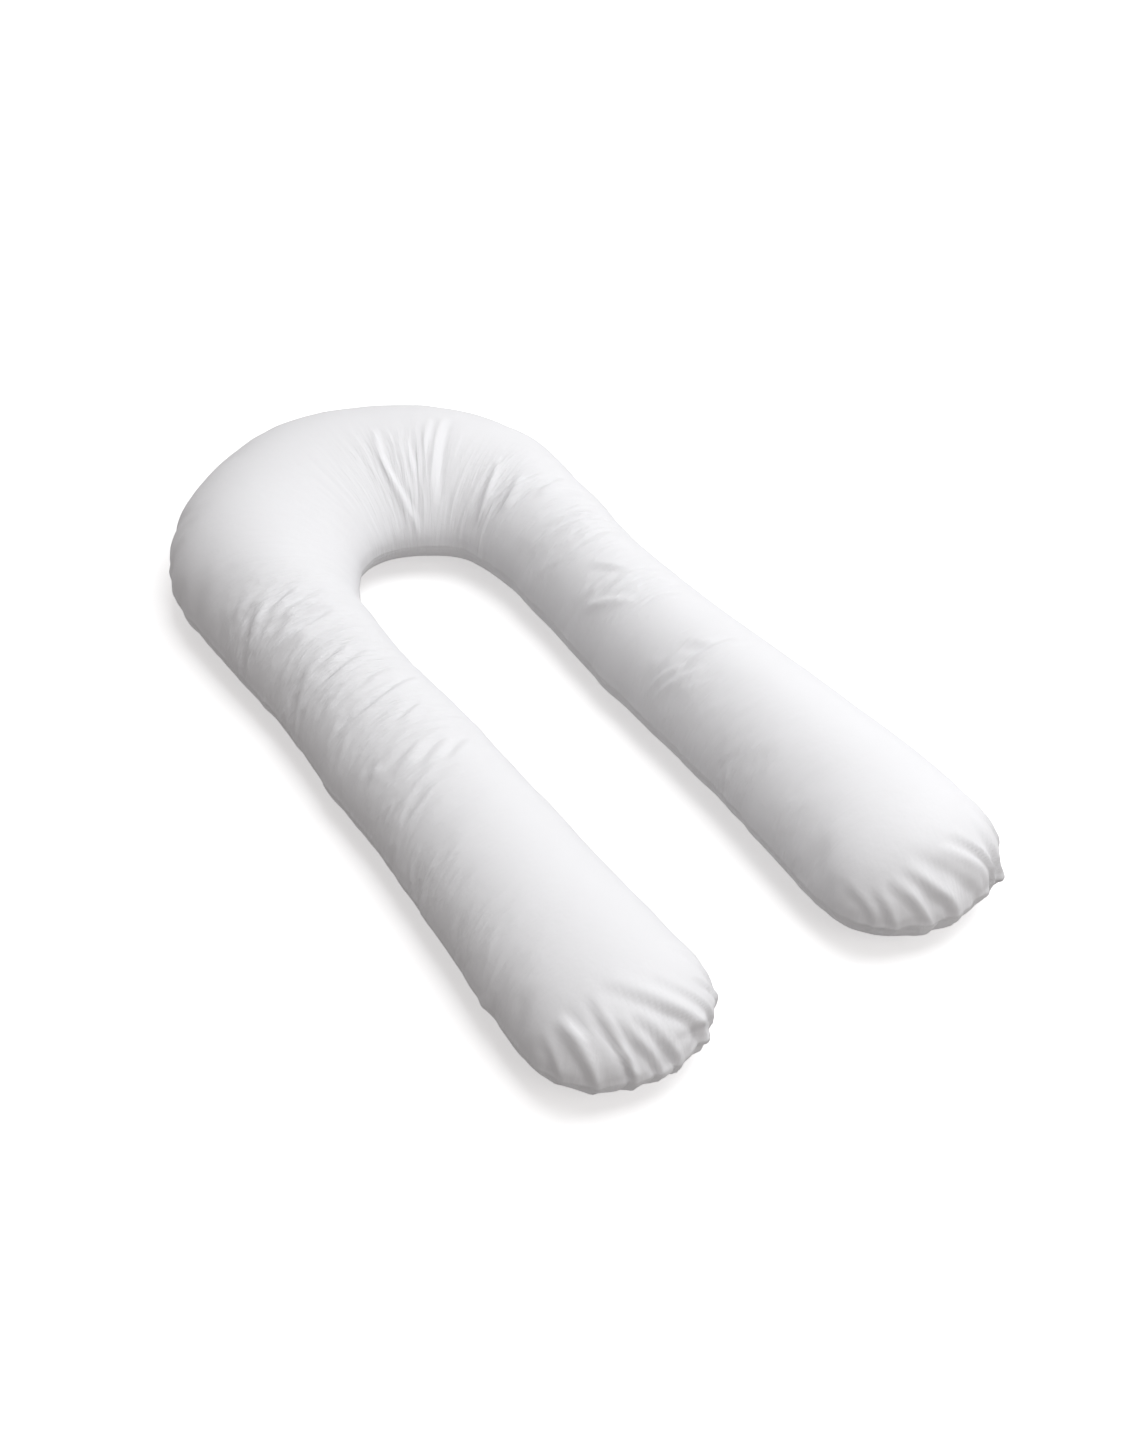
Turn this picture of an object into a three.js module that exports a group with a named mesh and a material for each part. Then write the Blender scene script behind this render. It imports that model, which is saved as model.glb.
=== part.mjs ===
// A U-shaped body pillow: two matching panels of plain cotton, sewn together round their outline
// and stuffed until they are firm. It lies flat, with the bend towards +Y and the two leg ends
// towards -Y. Millimetres, +Z up, the origin under the middle of the whole pillow.
import * as THREE from "three";

// Driving dimensions.
const BEND_CENTRE_Y = 253; // where both curves of the bend are struck from
const SEAM_SHARE = 0.34; // height of the outline seam, as a share of the crown beside it
const UNDERSIDE_FALL = 1.15; // past 1, so that the underside meets the surface and is flat there
const END_LENGTH = 122; // how far a leg's round end reaches past its last straight section
const END_SQUARENESS = 2.15; // 2 is an ellipse, and more is a squarer end
const FOLD_FADE = 25; // folds die out over this height above the surface the pillow lies on
const FOLD_TAPER = 0.7; // under 1, so that a fold keeps its depth until close to its ends
const LIP_PLACE = 2; // how far a fold's lip stands from its trough, in widths of the trough
const LIP_WIDTH = 1.1; // and how wide the lip is beside the trough

// How finely the skin is cut into faces.
const ROWS = 190;
const END_RAYS = 28;
const TOP_STEPS = 8;
const UNDERSIDE_STEPS = 3;
const FOLD_STEPS = 12;
const CROWN_LINE_STEPS = 600;

// Sections across each leg, from its round end to the bend. inner and outer are how far the seam
// stands from the middle of the U, and crown is the height of the pillow's top.
const LEFT_LEG = [
  { y: -618, inner: 103, outer: 363, crown: 143 },
  { y: -525, inner: 106, outer: 362, crown: 144 },
  { y: -308, inner: 108, outer: 346, crown: 143 },
  { y: -91, inner: 108, outer: 342, crown: 142 },
  { y: 109, inner: 114, outer: 334, crown: 145 },
];
const RIGHT_LEG = [
  { y: -618, inner: 86, outer: 360, crown: 166 },
  { y: -525, inner: 92, outer: 363, crown: 167 },
  { y: -308, inner: 104, outer: 349, crown: 166 },
  { y: -91, inner: 106, outer: 331, crown: 164 },
  { y: 109, inner: 117, outer: 324, crown: 166 },
];

// Sections across the bend, by their angle round BEND_CENTRE_Y from +X. inner and outer are radii.
const BEND = [
  { angle: 180, inner: 106, outer: 344, crown: 158 },
  { angle: 148, inner: 102, outer: 399, crown: 174 },
  { angle: 120, inner: 105, outer: 449, crown: 180 },
  { angle: 90, inner: 105, outer: 490, crown: 180 },
  { angle: 60, inner: 104, outer: 460, crown: 180 },
  { angle: 32, inner: 111, outer: 405, crown: 176 },
  { angle: 0, inner: 117, outer: 341, crown: 168 },
];

// Folds in the top panel, as seen from above. Each is a trough that runs from one place, bending by
// a second, to a third, with a raised lip along its right-hand side. width is half the trough's
// width, depth is how far it sinks below the full skin, and lip how far its side rises above it.
const FOLDS = [
  // across the left leg, just below the bend
  { from: [-316, 226], by: [-298, 231], to: [-278, 237], width: 8, depth: 2, lip: 3 },
  { from: [-280, 222], by: [-250, 229], to: [-215, 243], width: 8, depth: 3, lip: 3 },
  { from: [-265, 203], by: [-228, 203], to: [-180, 226], width: 8, depth: 3, lip: 3 },
  { from: [-290, 156], by: [-240, 147], to: [-190, 178], width: 8, depth: 4, lip: 3 },
  { from: [-272, 75], by: [-246, 74], to: [-216, 88], width: 8, depth: 3, lip: 2 },
  { from: [-278, 42], by: [-242, 48], to: [-200, 66], width: 8, depth: 4, lip: 3 },
  { from: [-303, -46], by: [-252, -62], to: [-158, -11], width: 9, depth: 5, lip: 4 },
  { from: [-240, -102], by: [-218, -96], to: [-192, -78], width: 8, depth: 4, lip: 3 },
  { from: [-292, -174], by: [-266, -170], to: [-236, -155], width: 8, depth: 2, lip: 3 },
  { from: [-258, -195], by: [-230, -182], to: [-200, -163], width: 8, depth: 3, lip: 3 },
  { from: [-226, -209], by: [-200, -194], to: [-174, -174], width: 8, depth: 3, lip: 3 },
  // fanning out from the inside of the bend
  { from: [68, 525], by: [22, 437], to: [40, 360], width: 8, depth: 4, lip: 4 },
  { from: [200, 500], by: [135, 429], to: [90, 350], width: 9, depth: 5, lip: 4 },
  { from: [172, 508], by: [135, 455], to: [118, 425], width: 8, depth: 2, lip: 3 },
  { from: [128, 315], by: [160, 332], to: [196, 376], width: 9, depth: 3, lip: 5 },
  { from: [150, 283], by: [180, 287], to: [198, 315], width: 8, depth: 2, lip: 4 },
  { from: [203, 250], by: [236, 255], to: [270, 268], width: 8, depth: 2, lip: 3 },
  // across the right leg
  { from: [182, 191], by: [212, 193], to: [246, 180], width: 9, depth: 2, lip: 1 },
  { from: [208, -14], by: [186, 14], to: [170, 42], width: 8, depth: 2, lip: 3 },
  { from: [192, -80], by: [215, -81], to: [242, -90], width: 8, depth: 2, lip: 2 },
  { from: [207, -236], by: [190, -220], to: [172, -195], width: 8, depth: 3, lip: 3 },
  { from: [200, -232], by: [222, -236], to: [246, -231], width: 8, depth: 3, lip: 3 },
  // gathered into the seam round the left leg's end
  { from: [-334, -690], by: [-336, -670], to: [-335, -640], width: 8, depth: 3, lip: 3 },
  { from: [-299, -648], by: [-295, -690], to: [-284, -732], width: 9, depth: 6, lip: 5 },
  { from: [-274, -694], by: [-270, -712], to: [-259, -738], width: 8, depth: 5, lip: 4 },
  { from: [-252, -702], by: [-243, -718], to: [-227, -736], width: 8, depth: 4, lip: 4 },
  { from: [-186, -726], by: [-236, -706], to: [-266, -655], width: 9, depth: 6, lip: 5 },
  { from: [-152, -711], by: [-198, -700], to: [-219, -652], width: 8, depth: 4, lip: 4 },
  { from: [-124, -698], by: [-142, -700], to: [-156, -688], width: 8, depth: 5, lip: 4 },
  { from: [-122, -668], by: [-146, -646], to: [-166, -629], width: 8, depth: 4, lip: 3 },
  // gathered into the seam round the right leg's end
  { from: [170, -733], by: [150, -715], to: [134, -692], width: 8, depth: 3, lip: 2 },
  { from: [198, -740], by: [172, -715], to: [156, -686], width: 8, depth: 4, lip: 4 },
  { from: [258, -728], by: [215, -712], to: [198, -680], width: 9, depth: 5, lip: 4 },
  { from: [286, -726], by: [290, -695], to: [266, -680], width: 9, depth: 6, lip: 5 },
  { from: [288, -630], by: [303, -617], to: [320, -603], width: 8, depth: 3, lip: 3 },
  { from: [316, -684], by: [306, -660], to: [292, -634], width: 8, depth: 4, lip: 4 },
];

const legSection = (side) => (row) => ({
  inner: new THREE.Vector2(side * row.inner, row.y),
  outer: new THREE.Vector2(side * row.outer, row.y),
  crown: row.crown,
});

function bendSection(row) {
  const angle = THREE.MathUtils.degToRad(row.angle);
  const at = (radius) =>
    new THREE.Vector2(Math.cos(angle) * radius, BEND_CENTRE_Y + Math.sin(angle) * radius);
  return { inner: at(row.inner), outer: at(row.outer), crown: row.crown };
}

// Every section in order, from the left leg's end round the bend to the right leg's end.
const SECTIONS = [
  ...LEFT_LEG.map(legSection(-1)),
  ...BEND.map(bendSection),
  ...RIGHT_LEG.map(legSection(1)).reverse(),
];

// Smooth curves through the sections: the two seams in plan, and the crown line over the middle.
const curveThrough = (pointOf) => new THREE.CatmullRomCurve3(SECTIONS.map(pointOf));
const innerSeam = curveThrough(({ inner }) => new THREE.Vector3(inner.x, inner.y, 0));
const outerSeam = curveThrough(({ outer }) => new THREE.Vector3(outer.x, outer.y, 0));
const crownLine = curveThrough(({ inner, outer, crown }) =>
  new THREE.Vector3((inner.x + outer.x) / 2, (inner.y + outer.y) / 2, crown));
crownLine.arcLengthDivisions = CROWN_LINE_STEPS;

// One rib of the skin runs from the crown line out to the seam and back underneath.
// reach 0 is the crown line and reach 1 the seam.
function ribPoint(top, seam, reach, underneath) {
  const seamHeight = SEAM_SHARE * top.z;
  const rise = Math.sqrt(1 - reach * reach);
  const height = underneath
    ? Math.max(seamHeight * (1 - UNDERSIDE_FALL * rise), 0)
    : seamHeight + (top.z - seamHeight) * rise;
  return new THREE.Vector3(
    THREE.MathUtils.lerp(top.x, seam.x, reach),
    THREE.MathUtils.lerp(top.y, seam.y, reach),
    height,
  );
}

// The ribs, in order round the closed outline: along the outer seam, round the right leg's end,
// back along the inner seam and round the left leg's end.
function ribs() {
  const rowAt = (index) => crownLine.getUtoTmapping(index / ROWS);
  const straight = (seam, index) => {
    const place = rowAt(index);
    return { top: crownLine.getPoint(place), seam: seam.getPoint(place), row: index };
  };
  const out = [];
  for (let i = 0; i < ROWS; i++) out.push(straight(outerSeam, i));
  out.push(...endRibs(1, ROWS));
  for (let i = ROWS; i > 0; i--) out.push(straight(innerSeam, i));
  out.push(...endRibs(0, 0));
  return out;
}

// The fan of ribs round one leg's end, from its outer seam to its inner seam on the right leg
// and the other way on the left.
function endRibs(place, index) {
  const top = crownLine.getPoint(place);
  const outer = outerSeam.getPoint(place);
  const inner = innerSeam.getPoint(place);
  const [from, to] = index ? [outer, inner] : [inner, outer];
  const half = (to.x - from.x) / 2;
  const squared = (v) => Math.sign(v) * Math.abs(v) ** (2 / END_SQUARENESS);
  const fan = [];
  for (let i = 0; i < END_RAYS; i++) {
    const turn = (Math.PI * i) / END_RAYS;
    const seam = new THREE.Vector3(
      top.x - half * squared(Math.cos(turn)),
      top.y - END_LENGTH * squared(Math.sin(turn)),
      0,
    );
    fan.push({ top, seam, row: index });
  }
  return fan;
}

// Where along a rib its points stand: close together where the skin turns round to the seam.
// Underneath, the first step reaches to the edge of the flat strip that touches the surface.
const CONTACT_TURN = Math.asin(1 / UNDERSIDE_FALL);
const topReach = (step) => Math.sin((Math.PI / 2) * (step / TOP_STEPS));
const undersideReach = (step) => Math.cos(CONTACT_TURN * (1 - (step - 1) / UNDERSIDE_STEPS));

// The closed skin. The points on the crown line, and under it, are shared by the ribs of a row.
function skin() {
  const all = ribs();
  const points = [];
  const shared = new Map();
  const add = (point) => points.push(point) - 1;
  const share = (key, point) => {
    if (!shared.has(key)) shared.set(key, add(point));
    return shared.get(key);
  };
  const lines = all.map(({ top, seam, row }) => {
    const line = [share("top " + row, ribPoint(top, seam, 0, false))];
    for (let i = 1; i <= TOP_STEPS; i++) line.push(add(ribPoint(top, seam, topReach(i), false)));
    for (let i = UNDERSIDE_STEPS; i > 0; i--) {
      line.push(add(ribPoint(top, seam, undersideReach(i), true)));
    }
    line.push(share("under " + row, ribPoint(top, seam, 0, true)));
    return line;
  });
  const faces = [];
  const face = (a, b, c) => {
    if (a !== b && b !== c && c !== a) faces.push(a, b, c);
  };
  lines.forEach((line, i) => {
    const next = lines[(i + 1) % lines.length];
    for (let j = 0; j + 1 < line.length; j++) {
      face(line[j], next[j], line[j + 1]);
      face(next[j], next[j + 1], line[j + 1]);
    }
  });
  const geometry = new THREE.BufferGeometry();
  geometry.setAttribute("position", new THREE.Float32BufferAttribute(
    points.flatMap((p) => [p.x, p.y, p.z]), 3));
  geometry.setIndex(faces);
  return geometry;
}

// Each fold as a short line of points along the middle of its trough.
const foldLines = FOLDS.map(({ from, by, to, width, depth, lip }) => {
  const [start, control, end] = [from, by, to].map(([x, y]) => new THREE.Vector2(x, y));
  const curve = new THREE.QuadraticBezierCurve(start, control, end);
  return { points: curve.getPoints(FOLD_STEPS), width, depth, lip };
});

// A soft mound, 1 high at its middle and about 4 wide.
const mound = (away) => Math.exp(-away * away / 2);

// How far one fold lifts the skin above a place, or sinks it.
function foldHeight({ points, width, depth, lip }, place) {
  let nearest = Infinity;
  let along = 0;
  let side = 0;
  for (let i = 0; i + 1 < points.length; i++) {
    const step = points[i + 1].clone().sub(points[i]);
    const offset = place.clone().sub(points[i]);
    const part = THREE.MathUtils.clamp(offset.dot(step) / step.lengthSq(), 0, 1);
    const gap = offset.addScaledVector(step, -part);
    if (gap.length() < nearest) {
      nearest = gap.length();
      along = (i + part) / FOLD_STEPS;
      side = Math.sign(step.cross(gap));
    }
  }
  // across is counted in widths, and is above 0 on the left of the fold's direction
  const across = (side * nearest) / width;
  const fade = Math.sin(Math.PI * along) ** FOLD_TAPER;
  return fade * (lip * mound((across + LIP_PLACE) / LIP_WIDTH) - depth * mound(across));
}

// Raises the folds in the skin, square to it, and leaves the flat underside as it is.
function foldSkin(geometry) {
  geometry.computeVertexNormals();
  const { position, normal } = geometry.attributes;
  const point = new THREE.Vector3();
  const outward = new THREE.Vector3();
  for (let i = 0; i < position.count; i++) {
    point.fromBufferAttribute(position, i);
    outward.fromBufferAttribute(normal, i);
    const place = new THREE.Vector2(point.x, point.y);
    const lift = foldLines.reduce((sum, line) => sum + foldHeight(line, place), 0);
    const fade = Math.min(point.z / FOLD_FADE, 1);
    point.addScaledVector(outward, lift * fade);
    position.setXYZ(i, point.x, point.y, point.z);
  }
  geometry.deleteAttribute("normal");
}

function pillow() {
  const geometry = skin();
  foldSkin(geometry);
  geometry.computeVertexNormals();
  geometry.computeBoundingBox();
  const middle = geometry.boundingBox.getCenter(new THREE.Vector3());
  const cotton = new THREE.MeshStandardMaterial({ color: 0xf4f3f2, roughness: 0.9, metalness: 0 });
  const mesh = new THREE.Mesh(geometry, cotton);
  mesh.name = "pillow";
  mesh.position.set(-middle.x, -middle.y, -geometry.boundingBox.min.z);
  return mesh;
}

const bodyPillow = new THREE.Group();
bodyPillow.name = "body_pillow";
bodyPillow.add(pillow());

export default bodyPillow;
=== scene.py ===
"""A U-shaped body pillow: two cotton panels, sewn together round their outline and stuffed firm.

The pillow lies on its back with the bend towards +Y and the two leg ends towards -Y. Sizes in the
tables are millimetres, as a maker would write them, and everything that goes into Blender is metres.
"""

import math

import bpy
import numpy as np
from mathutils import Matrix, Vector, kdtree, noise


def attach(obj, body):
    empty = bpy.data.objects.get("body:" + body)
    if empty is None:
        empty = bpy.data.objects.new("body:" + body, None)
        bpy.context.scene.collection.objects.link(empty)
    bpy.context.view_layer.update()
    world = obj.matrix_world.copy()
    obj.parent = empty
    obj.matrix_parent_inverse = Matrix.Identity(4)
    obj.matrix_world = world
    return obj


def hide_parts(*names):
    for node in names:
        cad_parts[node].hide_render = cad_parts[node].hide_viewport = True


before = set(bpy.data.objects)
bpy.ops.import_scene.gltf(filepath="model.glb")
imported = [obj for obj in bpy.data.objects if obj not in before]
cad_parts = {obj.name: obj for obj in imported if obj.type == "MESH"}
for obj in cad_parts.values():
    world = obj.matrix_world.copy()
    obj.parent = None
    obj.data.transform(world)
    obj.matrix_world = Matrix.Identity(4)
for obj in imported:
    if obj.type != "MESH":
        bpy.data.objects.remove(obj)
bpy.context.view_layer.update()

MM = 0.001

# ---------------------------------------------------------------- the pillow's sizes

BEND_CENTRE_Y = 253      # where both curves of the bend are struck from
SEAM_SHARE = 0.34        # height of the outline seam, as a share of the crown beside it
UNDERSIDE_FALL = 1.15    # past 1, so that the underside meets the floor and is flat there
END_LENGTH = 122         # how far a leg's round end reaches past its last straight section
END_SQUARENESS = 2.15    # 2 is an ellipse, and more is a squarer end

# Sections across each leg: (y, inner seam, outer seam, crown), from its round end to the bend.
LEFT_LEG = [
    (-618, 103, 363, 143),
    (-525, 106, 362, 144),
    (-308, 108, 346, 143),
    (-91, 108, 342, 142),
    (109, 114, 334, 145),
]
RIGHT_LEG = [
    (-618, 86, 360, 166),
    (-525, 92, 363, 167),
    (-308, 104, 349, 166),
    (-91, 106, 331, 164),
    (109, 117, 324, 166),
]
# Sections across the bend: (angle from +X, inner radius, outer radius, crown).
BEND = [
    (180, 106, 344, 158),
    (148, 102, 399, 174),
    (120, 105, 449, 180),
    (90, 105, 490, 180),
    (60, 104, 460, 180),
    (32, 111, 405, 176),
    (0, 117, 341, 168),
]

# Folds in the top panel, seen from above: (from, by, to, width, depth, lip). Each is a trough that
# runs from one place, bending by a second, to a third, with a raised lip along its right-hand side.
FOLDS = [
    # across the left leg, just below the bend
    ((-318, 275), (-300, 276), (-283, 279), 6, 1.0, 2.0),
    ((-316, 226), (-298, 231), (-282, 236), 6, 1.5, 2.5),
    ((-280, 222), (-250, 229), (-215, 243), 5, 2.0, 2.5),
    ((-322, 203), (-305, 203), (-284, 200), 6, 1.5, 2.0),
    ((-265, 203), (-228, 203), (-180, 226), 6, 1.5, 2.0),
    ((-290, 184), (-270, 185), (-252, 193), 7, 1.0, 2.0),
    ((-232, 184), (-212, 193), (-182, 194), 5, 1.0, 1.5),
    ((-290, 156), (-240, 147), (-190, 178), 5, 2.5, 2.5),
    ((-215, 143), (-195, 144), (-172, 154), 5, 1.0, 1.0),
    ((-312, 78), (-298, 74), (-284, 76), 5, 1.0, 1.0),
    ((-272, 75), (-246, 74), (-216, 88), 6, 1.5, 2.0),
    ((-278, 42), (-242, 48), (-200, 66), 7, 2.5, 2.0),
    ((-245, 26), (-228, 29), (-208, 35), 5, 1.0, 1.0),
    ((-248, -9), (-232, -1), (-192, 13), 5, 1.5, 1.0),
    ((-303, -46), (-252, -62), (-158, -11), 6, 4.0, 3.0),
    ((-264, -78), (-246, -72), (-215, -60), 7, 1.0, 0.5),
    ((-240, -102), (-218, -96), (-192, -78), 4.5, 2.5, 2.5),
    ((-314, -147), (-304, -145), (-294, -144), 6, 1.0, 1.5),
    ((-292, -174), (-266, -170), (-236, -155), 6.5, 1.5, 2.5),
    ((-258, -195), (-230, -182), (-200, -163), 6.5, 2.5, 2.5),
    ((-226, -209), (-200, -194), (-174, -174), 6, 2.5, 2.5),
    # fanning out from the inside of the bend
    ((78, 525), (34, 437), (58, 345), 5, 2.5, 4.0),
    ((200, 500), (135, 429), (90, 350), 7, 3.5, 3.5),
    ((107, 476), (95, 450), (84, 410), 4, 1.5, 1.5),
    ((172, 508), (135, 455), (118, 425), 6, 1.0, 2.0),
    ((93, 507), (88, 497), (84, 485), 3, 1.2, 1.0),
    ((118, 300), (155, 316), (196, 362), 5, 0.6, 4.5),
    ((152, 274), (182, 282), (204, 306), 5, 0.6, 4.0),
    ((170, 260), (190, 259), (212, 264), 4, 1.5, 1.0),
    ((203, 250), (236, 255), (270, 268), 5, 1.0, 3.5),
    ((272, 338), (283, 344), (292, 356), 5, 1.0, 1.5),
    # across the right leg
    ((182, 191), (212, 193), (246, 180), 9, 1.5, 0.5),
    ((198, 153), (214, 149), (234, 153), 6, 1.0, 1.0),
    ((208, -14), (186, 14), (170, 42), 6, 1.5, 2.5),
    ((192, -80), (215, -81), (242, -90), 5, 1.0, 1.5),
    ((142, 8), (160, -24), (188, -60), 5, 1.0, 3.0),
    ((122, -186), (146, -204), (166, -216), 4, 1.0, 3.5),
    ((118, -202), (142, -224), (178, -244), 4, 1.0, 3.5),
    ((207, -236), (190, -220), (172, -195), 7, 1.5, 2.0),
    ((166, -212), (206, -224), (246, -226), 5, 1.5, 3.0),
    # short creases that stop inside the round ends
    ((-316, -645), (-312, -667), (-306, -690), 5, 2.5, 2.5),
    ((222, -686), (248, -704), (300, -728), 4, 2.0, 3.0),
    ((288, -630), (303, -617), (320, -603), 5, 2.0, 2.0),
]

# Folds gathered into the seam round the leg ends, each from the seam inwards: they are deepest and
# narrowest at the seam. The columns are the same.
GATHERS = [
    # round the left leg's end
    ((-345, -715), (-352, -680), (-350, -640), 4, 1.5, 2.5),
    ((-316, -735), (-334, -700), (-334, -650), 8, 3.0, 5.0),
    ((-270, -748), (-297, -708), (-290, -650), 5, 5.0, 4.0),
    ((-228, -752), (-268, -728), (-277, -690), 5, 4.0, 4.0),
    ((-208, -748), (-235, -728), (-258, -696), 5, 3.5, 4.0),
    ((-150, -738), (-220, -720), (-272, -650), 8, 4.5, 4.5),
    ((-162, -722), (-190, -732), (-218, -729), 4, 2.5, 2.0),
    ((-145, -715), (-180, -705), (-212, -670), 6, 2.5, 2.5),
    ((-118, -692), (-138, -692), (-158, -682), 4, 3.0, 2.5),
    ((-118, -680), (-142, -645), (-170, -628), 4.5, 2.5, 2.5),
    # round the right leg's end
    ((118, -710), (102, -680), (98, -640), 4, 1.5, 2.0),
    ((158, -744), (124, -722), (118, -682), 4, 3.0, 3.5),
    ((215, -752), (158, -742), (134, -690), 5, 4.0, 5.0),
    ((242, -752), (188, -739), (156, -692), 5, 4.0, 5.0),
    ((285, -745), (222, -730), (176, -684), 6.5, 2.5, 1.5),
    ((308, -732), (268, -714), (238, -686), 4, 2.5, 4.0),
    ((318, -728), (284, -708), (290, -664), 6.5, 3.5, 4.5),
    ((345, -690), (318, -665), (298, -632), 5, 3.0, 3.0),
]

# Where the cloth lies slack and crinkles across the leg: (middle, radius, amount).
SLACK = [
    ((-262, 214), 110, 1.0),
    ((-240, 60), 120, 0.9),
    ((-240, -90), 110, 0.7),
    ((-300, -220), 110, 0.5),
    ((60, 440), 110, 0.5),
    ((190, 300), 100, 0.7),
    ((215, 130), 110, 0.8),
    ((190, -30), 90, 0.7),
    ((150, -230), 110, 0.5),
    ((-345, -350), 80, 0.6),
    ((-350, -470), 80, 0.5),
    ((-345, -560), 60, 0.4),
    ((112, -400), 80, 0.6),
    ((98, -540), 80, 0.5),
]

# ---------------------------------------------------------------- the cloth's grid

ROWS = 354               # between the two round ends
END_ROWS = 18            # over each round end
HALF_COLUMNS = 16        # from the crown line to the seam
CROWN_LINE_STEPS = 1600  # steps in which the crown line's length is measured
ROW_STEP = 7.3           # mm of cloth from one row of the grid to the next
COLUMN_STEP = 11.0       # and from one column to the next


def smooth_curve(points, places):
    """Positions at places, from 0 to 1, on the smooth curve through the points (centripetal)."""
    points = np.asarray(points, float)
    spans = len(points) - 1
    points = np.vstack([2 * points[0] - points[1], points, 2 * points[-1] - points[-2]])
    at = np.clip(np.asarray(places) * spans, 0, spans)
    first = np.minimum(at.astype(int), spans - 1)
    part = (at - first)[:, None]
    a, b, c, d = (points[first + k] for k in range(4))
    before, middle, after = (
        np.sqrt(np.linalg.norm(q - p, axis=1))[:, None] for p, q in ((a, b), (b, c), (c, d)))
    leave = ((b - a) / before - (c - a) / (before + middle) + (c - b) / middle) * middle
    reach = ((c - b) / middle - (d - b) / (middle + after) + (d - c) / after) * middle
    return (b + leave * part + (3 * (c - b) - 2 * leave - reach) * part ** 2
            + (2 * (b - c) + leave + reach) * part ** 3)


def section_lines():
    """Inner seam, outer seam and crown line at every section, from the left end to the right."""
    rows = [(-inner, y, -outer, y, crown) for y, inner, outer, crown in LEFT_LEG]
    for angle, inner, outer, crown in BEND:
        c, s = math.cos(math.radians(angle)), math.sin(math.radians(angle))
        rows.append((c * inner, BEND_CENTRE_Y + s * inner,
                     c * outer, BEND_CENTRE_Y + s * outer, crown))
    rows += [(inner, y, outer, y, crown) for y, inner, outer, crown in reversed(RIGHT_LEG)]
    rows = np.array(rows, float)
    inner, outer = rows[:, 0:2], rows[:, 2:4]
    return inner, outer, np.column_stack([(inner + outer) / 2, rows[:, 4]])


def row_places(crown, count):
    """Places along the crown line that stand evenly along its length."""
    fine = np.linspace(0, 1, CROWN_LINE_STEPS + 1)
    line = smooth_curve(crown, fine)
    length = np.r_[0, np.cumsum(np.linalg.norm(np.diff(line, axis=0), axis=1))]
    return np.interp(np.linspace(0, length[-1], count + 1), length, fine)


def panel_grid():
    """For each point of a panel's grid: the place of the crown line beside it, the way from there
    to the point in plan, how far along that way the point is (the seam is 1), and the crown's height.
    Columns run from the outer seam to the inner one."""
    inner, outer, crown = section_lines()
    places = row_places(crown, ROWS)
    inner, outer, crown = (smooth_curve(line, places) for line in (inner, outer, crown))
    across = np.linspace(-1, 1, 2 * HALF_COLUMNS + 1)
    reach = np.abs(np.sin(np.pi / 2 * across))[None, :] * np.ones((ROWS + 1, 1))
    seam = np.where((across < 0)[None, :, None], outer[:, None, :], inner[:, None, :])
    line = crown[:, None, :2] * np.ones((1, len(across), 1))
    crowns = crown[:, None, 2] * np.ones((1, len(across)))
    legs = (line, reach[:, :, None] * (seam - line), reach, crowns)

    def round_end(row, flip):
        """A half disc laid out as a grid, so that no point of it is crowded."""
        down = (np.arange(END_ROWS) + 1) / END_ROWS
        u, v = np.meshgrid(across, down)
        x = u * np.sqrt(1 - v * v / 2)
        y = v * np.sqrt(1 - u * u / 2)
        turn = np.arctan2(y, x)
        half = (inner[row] - outer[row])[0] / 2
        power = 2 / END_SQUARENESS
        rim_x = half * np.sign(np.cos(turn)) * np.abs(np.cos(turn)) ** power
        rim_y = -END_LENGTH * np.abs(np.sin(turn)) ** power
        gone = np.sin(np.pi / 2 * np.minimum(np.hypot(x, y), 1))
        parts = (np.ones_like(gone)[..., None] * crown[row, :2],
                 gone[..., None] * np.stack([rim_x, rim_y], axis=-1),
                 gone, np.full_like(gone, crown[row, 2]))
        return tuple(part[::-1] for part in parts) if flip else parts

    return [np.concatenate(parts) for parts in zip(round_end(0, True), legs, round_end(-1, False))]


def skin_points(spread=1.0, height=1.0):
    """Points of the full skin's top panel and underside. The panels are cut wider and lie flatter
    before they are stuffed: spread over 1 and height under 1."""
    line, way, reach, crown = panel_grid()
    plan = line + spread * way
    crown = crown * height
    seam_height = SEAM_SHARE * crown
    rise = np.sqrt(np.clip(1 - reach ** 2, 0, 1))
    top = seam_height + (crown - seam_height) * rise
    under = np.maximum(seam_height * (1 - UNDERSIDE_FALL * rise), 0)
    inside = under[1:-1, 1:-1]
    return np.concatenate([
        np.concatenate([plan, top[..., None]], axis=-1).reshape(-1, 3),
        np.concatenate([plan[1:-1, 1:-1], inside[..., None]], axis=-1).reshape(-1, 3)]) * MM


def panel_numbers():
    """Point numbers of the top panel's grid and of the underside's, which share the seam's."""
    rows, columns = ROWS + 1 + 2 * END_ROWS, 2 * HALF_COLUMNS + 1
    top = np.arange(rows * columns).reshape(rows, columns)
    under = top.copy()
    inside = (rows - 2, columns - 2)
    under[1:-1, 1:-1] = top.size + np.arange(inside[0] * inside[1]).reshape(inside)
    return top, under


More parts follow.
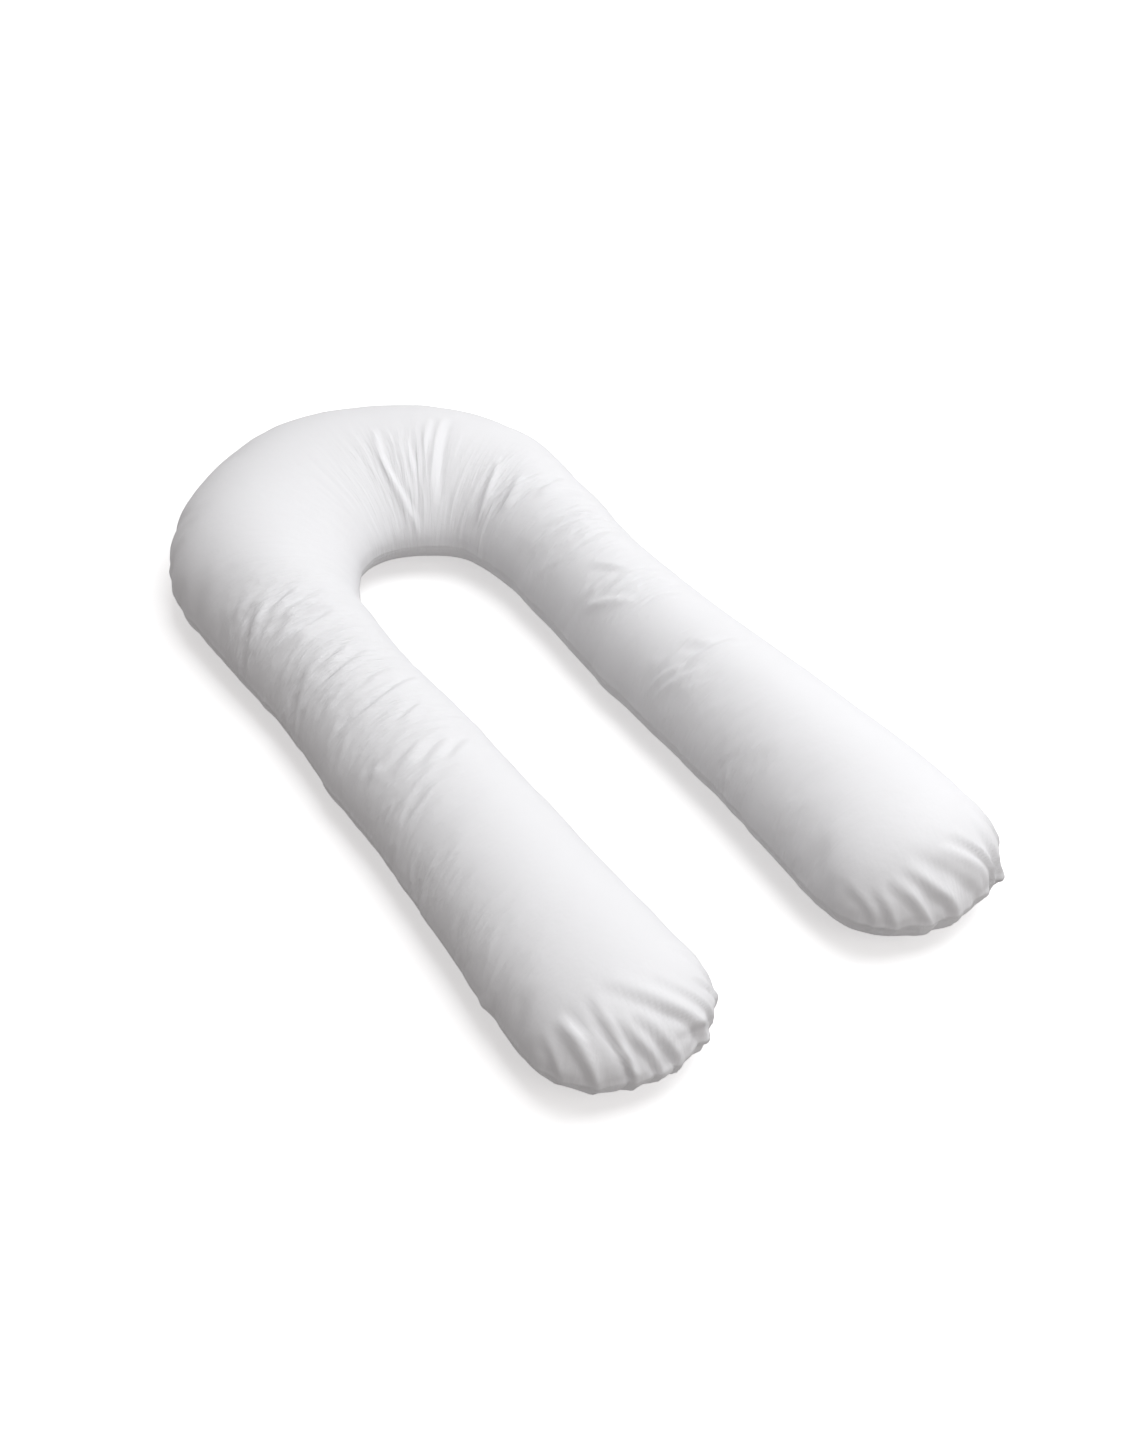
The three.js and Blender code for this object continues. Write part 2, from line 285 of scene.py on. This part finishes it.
def cloth_mesh(name):
    """The two panels joined at the seam, with the cloth's own grid as their texture coordinates."""
    quads, corners = [], []
    rows, columns = TOP.shape
    row, column = np.mgrid[0:rows, 0:columns]
    for grid, shift in ((TOP, 0), (UNDER, columns)):
        steps = [(slice(None, -1), slice(None, -1)), (slice(None, -1), slice(1, None)),
                 (slice(1, None), slice(1, None)), (slice(1, None), slice(None, -1))]
        if shift:
            steps.reverse()
        quads.append(np.stack([grid[s] for s in steps], axis=-1).reshape(-1, 4))
        corners.append(np.stack([np.stack([column[s] + shift, row[s]], axis=-1) for s in steps],
                                axis=-2).reshape(-1, 2))
    mesh = bpy.data.meshes.new(name)
    mesh.from_pydata(skin_points().tolist(), [], np.concatenate(quads).tolist())
    layer = mesh.uv_layers.new(name="cloth")
    cloth_places = np.concatenate(corners) * (COLUMN_STEP, ROW_STEP) * MM
    layer.data.foreach_set("uv", cloth_places.ravel())
    mesh.update()
    return mesh


TOP, UNDER = panel_numbers()
UNDERSIDE = np.setdiff1d(UNDER, TOP)
SEAM = np.concatenate([TOP[:-1, 0], TOP[-1, :-1], TOP[:0:-1, -1], TOP[0, :0:-1]])
SEAM = np.roll(SEAM, -(END_ROWS + ROWS // 2))    # it starts at the back of the bend


def positions(mesh):
    flat = np.empty(len(mesh.vertices) * 3)
    mesh.vertices.foreach_get("co", flat)
    return flat.reshape(-1, 3)


def move_to(mesh, places):
    mesh.vertices.foreach_set("co", places.ravel())
    mesh.update()


def outward(mesh):
    flat = np.empty(len(mesh.vertices) * 3)
    mesh.vertex_normals.foreach_get("vector", flat)
    return flat.reshape(-1, 3)


def point_values(mesh, name, values=None):
    """Writes one number for each point of the mesh under a name, or reads it back."""
    if values is not None:
        layer = mesh.attributes.get(name) or mesh.attributes.new(name, "FLOAT", "POINT")
        layer.data.foreach_set("value", values)
        return values
    values = np.empty(len(mesh.vertices))
    mesh.attributes[name].data.foreach_get("value", values)
    return values


def shared_out(mesh, values, rounds):
    """Values averaged with their neighbours', so that no single point stands out."""
    ends = np.empty(len(mesh.edges) * 2, int)
    mesh.edges.foreach_get("vertices", ends)
    first, second = ends.reshape(-1, 2).T
    count = np.bincount(ends, minlength=len(values))[:, None]
    for _ in range(rounds):
        total = np.zeros_like(values)
        np.add.at(total, first, values[second])
        np.add.at(total, second, values[first])
        values = (values + total / count) / 2
    return values


# ---------------------------------------------------------------- folds and puckers

LIP_PLACE = 2            # how far a fold's lip stands from its trough, in widths of the trough
LIP_WIDTH = 1.2          # in widths of the trough
CREASE = 1.15            # 2 is a soft round fold, and less is a sharper one
FOLD_STEPS = 16          # straight steps along a fold's curve
FOLD_REACH = 6           # a fold ends this many of its widths away
FOLD_TAPER = 0.7         # under 1, so that a fold keeps its depth until close to its ends
GATHER_NECK = 0.4        # width of a gather at the seam, as a share of its width inside
GATHER_RIM = 0.5         # share of a gather's height that the sewn edge takes away
GATHER_RIM_WIDTH = 9     # mm from the seam
FOLD_TURN = 22           # mm past the seam over which folds die out on the underside
FLOOR_FADE = 30          # mm above the floor over which folds die out


def fold_height(places, table, gathered):
    """How far a table's folds raise or sink the cloth at each place in plan."""
    height = np.zeros(len(places))
    for start, by, end, width, depth, lip in table:
        start, by, end = (np.array(p, float) for p in (start, by, end))
        t = np.linspace(0, 1, FOLD_STEPS + 1)[:, None]
        line = (1 - t) ** 2 * start + 2 * t * (1 - t) * by + t ** 2 * end
        reach = FOLD_REACH * width
        near = np.all((places > line.min(0) - reach) & (places < line.max(0) + reach), axis=1)
        step = np.diff(line, axis=0)[None]
        back = places[near][:, None] - line[:-1][None]
        part = np.clip((back * step).sum(-1) / (step ** 2).sum(-1), 0, 1)
        gap = back - part[..., None] * step
        nearest = np.linalg.norm(gap, axis=-1).argmin(1)
        pick = np.arange(len(nearest)), nearest
        along = (nearest + part[pick]) / FOLD_STEPS
        side = np.sign(step[0, nearest, 0] * gap[pick][:, 1] - step[0, nearest, 1] * gap[pick][:, 0])
        if gathered:
            width = width * (GATHER_NECK + (1 - GATHER_NECK) * along)
            fade = np.cos(np.pi / 2 * along) ** FOLD_TAPER
        else:
            fade = np.sin(np.pi * along) ** FOLD_TAPER
        across = side * np.linalg.norm(gap[pick], axis=1) / width
        raised = np.exp(-np.abs((across + LIP_PLACE) / LIP_WIDTH) ** CREASE)
        sunk = np.exp(-np.abs(across) ** CREASE / CREASE)
        height[near] += fade * (lip * raised - depth * sunk)
    return height


def raise_cloth(mesh, lift):
    """Moves each point square to the cloth by its lift in mm, and less close to the floor."""
    places = positions(mesh)
    clear = np.clip(places[:, 2] / (FLOOR_FADE * MM), 0, 1)
    move_to(mesh, places + outward(mesh) * (lift * clear)[:, None] * MM)


def fold(mesh, share):
    """Raises the folds in the top panel, and turns them round the seam."""
    plan = positions(mesh)[:, :2] / MM
    away = point_values(mesh, "seam_away")
    lift = fold_height(plan, FOLDS, False)
    lift += fold_height(plan, GATHERS, True) * (1 - GATHER_RIM * np.exp(-(away / GATHER_RIM_WIDTH) ** 2))
    turned = np.exp(-(away / FOLD_TURN) ** 2)
    lift *= np.where(point_values(mesh, "panel") < 0.5, turned, 1)
    raise_cloth(mesh, lift * share)


def rough_field(places, lengths):
    """Smooth random values, of either sign, that change over the given length in each direction."""
    return np.array([noise.noise(place) for place in places / np.asarray(lengths, float)])


LUMPS = (150, 1.6)       # length and height of the filling's unevenness, mm
CRINKLE = (26, 120, 3.6)  # crinkles of slack cloth: length along the leg and across it, and height
CRINKLE_LEAN = 0.25      # how far the crinkles slant across the legs, either way at the two ends
CRINKLE_EDGE = 0.25      # value at which a crinkle's side passes from crest to hollow
FINE_SHARE = 0.5         # crinkles of half the size have this share of the height
FINE_PLACE = 700         # far enough along the random field to be another pattern
BREAK_PLACE = 300
SLACK_FALL = 1.5         # how fast the slackness falls off from the middle of its place
CRINKLE_BREAK = (50, 140)    # they come and go over these lengths along the leg and across it


def crest(values):
    """Turns smooth values into sharp crests where they pass nought, and hollows between them."""
    return np.maximum(1 - np.abs(values) / CRINKLE_EDGE, -1)


def slackness(plan):
    """How slack the cloth is at each place in plan, from 0 to 1."""
    slack = np.zeros(len(plan))
    for middle, radius, amount in SLACK:
        away = np.linalg.norm(plan - np.array(middle), axis=1) / radius
        slack = np.maximum(slack, amount * np.exp(-away ** 2 * SLACK_FALL))
    return slack


def slacken(mesh):
    """The filling's broad unevenness, and crinkles where the cloth is slack."""
    places = positions(mesh) / MM
    length, height = LUMPS
    lift = height * rough_field(places, (length,) * 3)
    along, across, height = CRINKLE
    row = point_values(mesh, "row") * ROW_STEP
    column = point_values(mesh, "column") * COLUMN_STEP
    lean = CRINKLE_LEAN * np.cos(np.pi * row / row.max())
    cloth = np.column_stack([row - lean * column, column, np.zeros(len(row))])
    crinkle = crest(rough_field(cloth, (along, across, 1)))
    crinkle += FINE_SHARE * crest(rough_field(cloth + FINE_PLACE, (along / 2, across / 2, 1)))
    crinkle *= np.clip(0.5 + 2 * rough_field(cloth + BREAK_PLACE, (*CRINKLE_BREAK, 1)), 0, 1)
    slack = slackness(places[:, :2])
    point_values(mesh, "slack", slack)
    lift += height * slack * crinkle
    raise_cloth(mesh, lift * point_values(mesh, "panel"))


# Puckers beside the seam, in three sizes: (spacing along the seam, reach into the cloth, height).
PUCKERS = [
    (46, 60, 1.6),
    (24, 34, 1.4),
    (13, 18, 0.7),
]
PUCKER_SEED = 11
PUCKER_FALL = 1.4        # 2 would fade as a bell does, and less fades with a longer tail
LEG_END_Y = -560         # the round ends' gathers begin here
LEG_END_BLEND = 80       # and are full this much further on
GATHERED_REACH = 30      # small creases run this far into the cloth from the seam
GATHERED_LEGS = 0.15     # their strength along the legs, and what the round ends add
GATHERED_ENDS = 0.5
# Where a gather pulls the sewn edge out into a point: (place, radius, height).
TIPS = [
    ((-293, -729, 40), 10, 1.0),
    ((-228, -747, 46), 12, 7.0),
    ((-163, -724, 48), 9, 5.0),
    ((-125, -687, 60), 9, 3.0),
    ((-326, 504, 52), 14, 3.0),
    ((-361, -534, 48), 12, 2.5),
    ((-364, -551, 48), 8, -2.5),
    ((317, -717, 56), 9, 6.5),
    ((280, -728, 52), 9, 3.5),
    ((224, -743, 50), 9, 3.0),
    ((167, -733, 45), 9, 2.5),
    ((109, -704, 45), 9, 2.5),
]
SEAM_RIDGE = 0.6         # the sewn edge stands this far out, mm
SEAM_RIDGE_WIDTH = 3.5
SEAM_FURROW = 0.5        # and the cloth beside it is drawn in this far
SEAM_FURROW_PLACE = 9


def seam_line(mesh):
    """The seam as points 1 mm apart."""
    line = positions(mesh)[SEAM] / MM
    line = np.vstack([line, line[:1]])
    length = np.r_[0, np.cumsum(np.linalg.norm(np.diff(line, axis=0), axis=1))]
    at = np.arange(0, length[-1])
    return np.column_stack([np.interp(at, length, line[:, k]) for k in range(3)])


def measure_from_seam(mesh):
    """Writes each point's distance from the seam, and how far along the seam it is, in mm."""
    line = seam_line(mesh)
    tree = kdtree.KDTree(len(line))
    for i, point in enumerate(line):
        tree.insert(point, i)
    tree.balance()
    found = [tree.find(place) for place in positions(mesh) / MM]
    point_values(mesh, "seam_along", np.array([i for _, i, _ in found], float))
    point_values(mesh, "seam_away", np.array([away for _, _, away in found]))
    return len(line)


def pucker(mesh, seam_length):
    """Gathers the cloth into the seam, and raises the sewn edge."""
    rng = np.random.default_rng(PUCKER_SEED)
    along, away = point_values(mesh, "seam_along"), point_values(mesh, "seam_away")
    places = positions(mesh) / MM
    to_end = np.clip((LEG_END_Y - places[:, 1]) / LEG_END_BLEND, 0, 1)
    gathered = np.exp(-away / GATHERED_REACH) * (GATHERED_LEGS + GATHERED_ENDS * to_end)
    point_values(mesh, "gathered", gathered)
    lift = np.zeros(len(places))
    for spacing, reach, height in PUCKERS:
        count = int(seam_length / spacing)
        values = rng.uniform(-1, 1, count)
        at = along / seam_length * count
        first = at.astype(int)
        part = (at - first) ** 2 * (3 - 2 * (at - first))
        wave = values[first % count] * (1 - part) + values[(first + 1) % count] * part
        lift += height * wave * np.exp(-(away / reach) ** PUCKER_FALL)
    for middle, radius, height in TIPS:
        gap = np.linalg.norm(places - np.array(middle), axis=1)
        lift += height * np.exp(-(gap / radius) ** 2)
    lift += SEAM_RIDGE * np.exp(-(away / SEAM_RIDGE_WIDTH) ** 2)
    lift -= SEAM_FURROW * np.exp(-((away - SEAM_FURROW_PLACE) / SEAM_RIDGE_WIDTH) ** 2 / 2)
    raise_cloth(mesh, lift)


# ---------------------------------------------------------------- stuffing

CUT_HEIGHT = 0.88        # the panels are cut for a pillow this much flatter
CUT_SPREAD = 1.06        # and this much wider, so that cloth is left over when it is stuffed round
STUFF_FRAMES = 14
FULL_FRAME = 8           # by this frame the filling has pushed the cloth out to its full shape
PRESSURE = 20
# How firmly each part of the cloth is held to the full shape, from 0 to 1.
HOLD_SEAM = 0.6
HOLD_CLOTH = 0.3
HOLD_UNDERSIDE = 0.5
CAP = 8 * MM             # no point of the cloth moves further than this from the full shape
SHARE_ROUNDS = 2         # rounds of averaging with the neighbours


def stuff(piece):
    """Sews the wide, flat panels into the full shape, so that the cloth left over gathers by itself."""
    mesh = piece.data
    full = positions(mesh)
    cut = piece.shape_key_add(name="cut")
    cut.data.foreach_set("co", skin_points(CUT_SPREAD, CUT_HEIGHT).ravel())
    stuffed = piece.shape_key_add(name="stuffed")
    stuffed.data.foreach_set("co", full.ravel())
    for frame_number, value in ((1, 0), (FULL_FRAME, 1)):
        stuffed.value = value
        stuffed.keyframe_insert("value", frame=frame_number)

    weight = np.full(len(full), HOLD_CLOTH)
    weight[SEAM] = HOLD_SEAM
    weight[UNDERSIDE] = np.where(full[UNDERSIDE, 2] < FLOOR_FADE * MM, 1, HOLD_UNDERSIDE)
    hold = piece.vertex_groups.new(name="hold")
    for value in np.unique(weight):
        hold.add(np.flatnonzero(weight == value).tolist(), float(value), "REPLACE")

    cloth = piece.modifiers.new("cloth", "CLOTH")
    settings = cloth.settings
    settings.quality = 6
    settings.mass = 0.005
    settings.tension_stiffness = settings.compression_stiffness = 30
    settings.shear_stiffness = 10
    settings.bending_stiffness = 10
    settings.use_pressure = True
    settings.uniform_pressure_force = PRESSURE
    settings.vertex_group_mass = "hold"
    settings.pin_stiffness = 1
    settings.effector_weights.gravity = 0
    cloth.collision_settings.use_collision = False
    cloth.point_cache.frame_start = 1
    cloth.point_cache.frame_end = STUFF_FRAMES
    scene = bpy.context.scene
    for frame_number in range(1, STUFF_FRAMES + 1):
        scene.frame_set(frame_number)
    settled = positions(piece.evaluated_get(bpy.context.evaluated_depsgraph_get()).to_mesh())
    piece.modifiers.remove(cloth)
    piece.shape_key_clear()
    piece.vertex_groups.clear()
    scene.frame_set(1)

    moved = shared_out(mesh, settled - full, SHARE_ROUNDS)
    far = np.linalg.norm(moved, axis=1)
    settled = full + moved * (CAP / np.maximum(far, CAP))[:, None]
    settled[:, 2] = np.maximum(settled[:, 2], 0)
    move_to(mesh, settled)


def refine(piece):
    """Divides every face in four, smoothly."""
    finer = piece.modifiers.new("finer", "SUBSURF")
    finer.levels = finer.render_levels = 1
    evaluated = piece.evaluated_get(bpy.context.evaluated_depsgraph_get())
    mesh = bpy.data.meshes.new_from_object(evaluated)
    piece.modifiers.remove(finer)
    piece.data = mesh
    return mesh


def link(name, data):
    piece = bpy.data.objects.new(name, data)
    bpy.context.scene.collection.objects.link(piece)
    return piece


FOLD_SEED = 0.6          # share of the folds' height laid in before the stuffing
FOLD_FINISH = 1.5        # and after it


def stuffed_pillow():
    """Cuts, folds, stuffs and finishes the pillow's cloth."""
    mesh = cloth_mesh("pillow_cloth")
    piece = link("stuffed_pillow", mesh)
    panel = np.ones(len(mesh.vertices))
    panel[SEAM] = 0.5
    panel[UNDERSIDE] = 0
    point_values(mesh, "panel", panel)
    for name, grid in zip(("row", "column"), np.indices(TOP.shape)):
        numbers = np.zeros(len(panel))
        numbers[UNDER] = numbers[TOP] = grid
        point_values(mesh, name, numbers)
    measure_from_seam(mesh)
    fold(mesh, FOLD_SEED)
    stuff(piece)
    mesh = refine(piece)
    seam_length = measure_from_seam(mesh)
    fold(mesh, FOLD_FINISH)
    slacken(mesh)
    pucker(mesh, seam_length)
    for polygon in mesh.polygons:
        polygon.use_smooth = True
    return piece


# ---------------------------------------------------------------- cotton

COTTON_LIGHT = (0.790, 0.795, 0.810, 1)
COTTON_SHADE = (0.770, 0.773, 0.785, 1)
TONE_SCALE = 7           # patches of tone to a metre
FURROW_PAINTED_SHADE = 0.5         # painted shade: how far the seam's furrow is darkened towards the darker tone
ROUGHNESS = 0.82         # of the smoothest patch
ROUGHNESS_RANGE = 0.12
THREAD_SPACING = 0.0007  # metres
COARSE_RUMPLE = (55, 2)      # (rumples to a metre, detail)
FINE_RUMPLE = (160, 3)
FINE_HEIGHT = 0.3            # of the coarse rumples' height
FINE_ROUGHNESS = 0.6     # how strong the smallest of the fine rumples are
CREASE_SIZES = ((1, 1.0), (2.1, 0.5))    # (scale, height) of the small creases
CREASE_STEEPNESS = 5
CREASE_ALONG_LEG = 0.017     # metres from one small crease to the next
CREASE_ACROSS_LEG = 0.075    # and how long it is
CREASE_ALONG_SEAM = 22.0     # the same for those that run into the seam, mm
CREASE_INTO_SEAM = 90.0
STITCH_PITCH = 3.6       # mm from one stitch to the next
STITCH_LENGTH = 0.62     # share of the pitch that is thread
STITCH_WIDTH = 0.8       # mm from the seam
FURROW_FALL = -0.25      # how fast the seam's furrow closes, to the square of the mm
# Heights of the cloth's relief, mm.
RUMPLE_HEIGHT = 0.6
WEAVE_HEIGHT = 0.08
CREASE_HEIGHT = 2.0
STITCH_HEIGHT = 0.6
FURROW_HEIGHT = 0.8
BUMP_STRENGTH = 0.8


def node_group(name, inputs, outputs):
    """An empty node group with float or vector sockets; returns it with its two end nodes."""
    group = bpy.data.node_groups.new(name, "ShaderNodeTree")
    for in_out, sockets in (("INPUT", inputs), ("OUTPUT", outputs)):
        for socket, kind in sockets:
            group.interface.new_socket(name=socket, in_out=in_out, socket_type="NodeSocket" + kind)
    return group, group.nodes.new("NodeGroupInput"), group.nodes.new("NodeGroupOutput")


def maths(tree, operation, *values):
    """One step of arithmetic on sockets or numbers."""
    node = tree.nodes.new("ShaderNodeMath")
    node.operation = operation
    for socket, value in zip(node.inputs, values):
        if isinstance(value, (int, float)):
            socket.default_value = value
        else:
            tree.links.new(value, socket)
    return node.outputs[0]


def noise_at(tree, vector, scale, detail, roughness=0.5):
    """Smooth random values from 0 to 1."""
    node = tree.nodes.new("ShaderNodeTexNoise")
    node.inputs["Scale"].default_value = scale
    node.inputs["Detail"].default_value = detail
    node.inputs["Roughness"].default_value = roughness
    tree.links.new(vector, node.inputs["Vector"])
    return node.outputs["Fac"]


def weave_group():
    """Plain weave: warp and weft pass over each other by turns. The vector is metres of cloth."""
    group, start, end = node_group("plain_weave", [("Vector", "Vector")], [("Height", "Float")])
    split = group.nodes.new("ShaderNodeSeparateXYZ")
    group.links.new(start.outputs["Vector"], split.inputs[0])
    turn = math.pi / THREAD_SPACING
    warp = maths(group, "SINE", maths(group, "MULTIPLY", split.outputs["X"], turn))
    weft = maths(group, "SINE", maths(group, "MULTIPLY", split.outputs["Y"], turn))
    over = maths(group, "MULTIPLY", warp, weft)
    group.links.new(maths(group, "MULTIPLY_ADD", over, 0.5, 0.5), end.inputs["Height"])
    return group


def rumple_group():
    """Small rumples of worn cotton, coarse and fine together."""
    group, start, end = node_group("cotton_rumples", [("Vector", "Vector")], [("Height", "Float")])
    coarse = noise_at(group, start.outputs["Vector"], *COARSE_RUMPLE)
    fine = noise_at(group, start.outputs["Vector"], *FINE_RUMPLE, FINE_ROUGHNESS)
    both = maths(group, "ADD", coarse, maths(group, "MULTIPLY", fine, FINE_HEIGHT))
    group.links.new(both, end.inputs["Height"])
    return group


def crease_group():
    """Crisp small creases, sharp at the crest. The vector is measured in creases."""
    group, start, end = node_group("cloth_creases", [("Vector", "Vector")], [("Height", "Float")])
    heights = []
    for scale, share in CREASE_SIZES:
        swell = noise_at(group, start.outputs["Vector"], scale, 1)
        side = maths(group, "ABSOLUTE", maths(group, "SUBTRACT", swell, 0.5))
        ridge = maths(group, "SUBTRACT", 1, maths(group, "MULTIPLY", side, CREASE_STEEPNESS))
        heights.append(maths(group, "MULTIPLY", ridge, share))
    group.links.new(maths(group, "ADD", *heights), end.inputs["Height"])
    return group


def scaled_pair(tree, first, first_length, second, second_length):
    """A vector of two measures, each counted in a length of its own."""
    x = maths(tree, "DIVIDE", first, first_length)
    y = maths(tree, "DIVIDE", second, second_length)
    node = tree.nodes.new("ShaderNodeCombineXYZ")
    tree.links.new(x, node.inputs["X"])
    tree.links.new(y, node.inputs["Y"])
    return node.outputs[0]


def stitch_group():
    """The row of stitches in the seam, from mm along the seam and mm away from it."""
    group, start, end = node_group("seam_stitches", [("Along", "Float"), ("Away", "Float")],
                                   [("Stitch", "Float"), ("Furrow", "Float")])
    away = start.outputs["Away"]
    beat = maths(group, "FRACT", maths(group, "DIVIDE", start.outputs["Along"], STITCH_PITCH))
    near = maths(group, "LESS_THAN", away, STITCH_WIDTH)
    thread = maths(group, "MULTIPLY", maths(group, "LESS_THAN", beat, STITCH_LENGTH), near)
    fall = maths(group, "MULTIPLY", maths(group, "MULTIPLY", away, away), FURROW_FALL)
    group.links.new(thread, end.inputs["Stitch"])
    group.links.new(maths(group, "EXPONENT", fall), end.inputs["Furrow"])
    return group


def grouped(tree, group, **sockets):
    """Places a node group, with its inputs joined by name; returns its outputs."""
    node = tree.nodes.new("ShaderNodeGroup")
    node.node_tree = group
    for name, source in sockets.items():
        tree.links.new(source, node.inputs[name])
    return node.outputs


def attribute(tree, name):
    """A number that the cloth's points carry."""
    node = tree.nodes.new("ShaderNodeAttribute")
    node.attribute_name = name
    return node.outputs["Fac"]


def relief(tree, places, stitches):
    """The cloth's height in mm: rumples, weave, small creases, stitches and the seam's furrow."""
    creases = crease_group()
    split = tree.nodes.new("ShaderNodeSeparateXYZ")
    tree.links.new(places.outputs["UV"], split.inputs[0])
    across_legs = grouped(tree, creases, Vector=scaled_pair(
        tree, split.outputs["X"], CREASE_ACROSS_LEG, split.outputs["Y"], CREASE_ALONG_LEG))
    into_seam = grouped(tree, creases, Vector=scaled_pair(
        tree, attribute(tree, "seam_along"), CREASE_ALONG_SEAM,
        attribute(tree, "seam_away"), CREASE_INTO_SEAM))
    rumples = grouped(tree, rumple_group(), Vector=places.outputs["Object"])["Height"]
    weave = grouped(tree, weave_group(), Vector=places.outputs["UV"])["Height"]
    slack = maths(tree, "MULTIPLY", attribute(tree, "slack"), CREASE_HEIGHT)
    layers = [
        (rumples, RUMPLE_HEIGHT),
        (weave, WEAVE_HEIGHT),
        (across_legs["Height"], slack),
        (into_seam["Height"], attribute(tree, "gathered")),
        (stitches["Stitch"], STITCH_HEIGHT),
        (stitches["Furrow"], -FURROW_HEIGHT),
    ]
    height = 0.0
    for pattern, amount in layers:
        height = maths(tree, "ADD", height, maths(tree, "MULTIPLY", pattern, amount))
    return height


def cotton():
    """White cotton: woven, faintly rumpled and a little uneven in tone, with its seam's stitches, and
    painted shade darkening the seam's furrow.
    """
    material = bpy.data.materials.new("cotton")
    material.use_nodes = True
    tree = material.node_tree
    shader = tree.nodes["Principled BSDF"]
    places = tree.nodes.new("ShaderNodeTexCoord")
    stitches = grouped(tree, stitch_group(), Along=attribute(tree, "seam_along"),
                       Away=attribute(tree, "seam_away"))

    tone = tree.nodes.new("ShaderNodeMix")
    tone.data_type = "RGBA"
    tone.inputs["A"].default_value = COTTON_LIGHT
    tone.inputs["B"].default_value = COTTON_SHADE
    patches = noise_at(tree, places.outputs["Object"], TONE_SCALE, 3)
    # random tone patches, plus painted shade that darkens the seam's furrow
    shade = maths(tree, "ADD", patches, maths(tree, "MULTIPLY", stitches["Furrow"], FURROW_PAINTED_SHADE))
    tree.links.new(shade, tone.inputs["Factor"])
    tree.links.new(tone.outputs["Result"], shader.inputs["Base Color"])
    roughness = maths(tree, "MULTIPLY_ADD", patches, ROUGHNESS_RANGE, ROUGHNESS)
    tree.links.new(roughness, shader.inputs["Roughness"])

    bump = tree.nodes.new("ShaderNodeBump")
    bump.inputs["Strength"].default_value = BUMP_STRENGTH
    bump.inputs["Distance"].default_value = MM
    tree.links.new(relief(tree, places, stitches), bump.inputs["Height"])
    tree.links.new(bump.outputs["Normal"], shader.inputs["Normal"])
    return material


pillow = stuffed_pillow()
pillow.data.materials.append(cotton())
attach(pillow, "root")
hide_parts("pillow")

# ---------------------------------------------------------------- floor, light and camera

CAMERA_AZIMUTH = -32.87
CAMERA_ELEVATION = 39.96
CAMERA_DISTANCE = 2.6055
CAMERA_TARGET = Vector((0.0071, -0.1607, 0.0695))
FOCAL_PIXELS = 1826.4     # for a picture 1440 pixels high
PICTURE_HEIGHT = 1440
SENSOR = 36.0

FLOOR_HALF = 12.0
FLOOR_TONE = (0.95, 0.95, 0.95, 1)
FLOOR_GLOW = 0.36         # lifts the floor to pure white but for the pillow's own shadow
WORLD_COLOR = (1, 0.955, 0.943, 1)
WORLD_STRENGTH = 0.35


def add_camera():
    """The camera in front of the left leg's end, looking down at the pillow."""
    data = bpy.data.cameras.new("camera")
    data.sensor_fit = "VERTICAL"
    data.sensor_height = SENSOR
    data.lens = FOCAL_PIXELS / PICTURE_HEIGHT * SENSOR
    camera = link("camera", data)
    azimuth, elevation = math.radians(CAMERA_AZIMUTH), math.radians(CAMERA_ELEVATION)
    back = Vector((math.sin(azimuth) * math.cos(elevation),
                   -math.cos(azimuth) * math.cos(elevation), math.sin(elevation)))
    camera.location = CAMERA_TARGET + back * CAMERA_DISTANCE
    camera.rotation_euler = back.to_track_quat("Z", "Y").to_euler()
    bpy.context.scene.camera = camera


def add_floor():
    """A white floor, which takes the pillow's shadow."""
    corners = [(x * FLOOR_HALF, y * FLOOR_HALF, 0) for x, y in ((-1, -1), (1, -1), (1, 1), (-1, 1))]
    mesh = bpy.data.meshes.new("floor")
    mesh.from_pydata(corners, [], [(0, 1, 2, 3)])
    material = bpy.data.materials.new("floor")
    material.use_nodes = True
    shader = material.node_tree.nodes["Principled BSDF"]
    shader.inputs["Base Color"].default_value = FLOOR_TONE
    shader.inputs["Roughness"].default_value = 1
    shader.inputs["Specular IOR Level"].default_value = 0
    shader.inputs["Emission Color"].default_value = (1, 1, 1, 1)
    shader.inputs["Emission Strength"].default_value = FLOOR_GLOW
    mesh.materials.append(material)
    floor = link("floor", mesh)
    floor.visible_diffuse = False    # the pale ground throws no light up under the pillow


def soft_light(name, place, aim, size, power, color):
    """A square soft light at a place, aimed at another, in metres and watts."""
    data = bpy.data.lights.new(name, "AREA")
    data.energy = power
    data.size = size
    data.color = color
    lamp = link(name, data)
    lamp.location = place
    lamp.rotation_euler = (Vector(place) - Vector(aim)).to_track_quat("Z", "Y").to_euler()


def add_lights():
    """Daylight from all round, and four soft lights, the strongest overhead on the right."""
    world = bpy.data.worlds.new("world")
    world.use_nodes = True
    sky = world.node_tree.nodes["Background"]
    sky.inputs["Color"].default_value = WORLD_COLOR
    sky.inputs["Strength"].default_value = WORLD_STRENGTH
    bpy.context.scene.world = world
    soft_light("overhead", (1.6, -0.3, 4.5), (0.1, -0.1, 0), 4.0, 138, (0.975, 0.987, 1))
    soft_light("key", (2.2, -0.6, 1.8), (0, -0.1, 0), 2.2, 19, (0.975, 0.987, 1))
    soft_light("front_fill", (0.6, -4.5, 3.2), (0, -0.2, 0), 3.0, 53, (1, 0.98, 0.97))
    soft_light("back_fill", (0.8, 4.2, 3.4), (0, 0.1, 0), 3.0, 35, (1, 1, 1))


add_camera()
add_floor()
add_lights()
bpy.context.scene.view_settings.view_transform = "Standard"
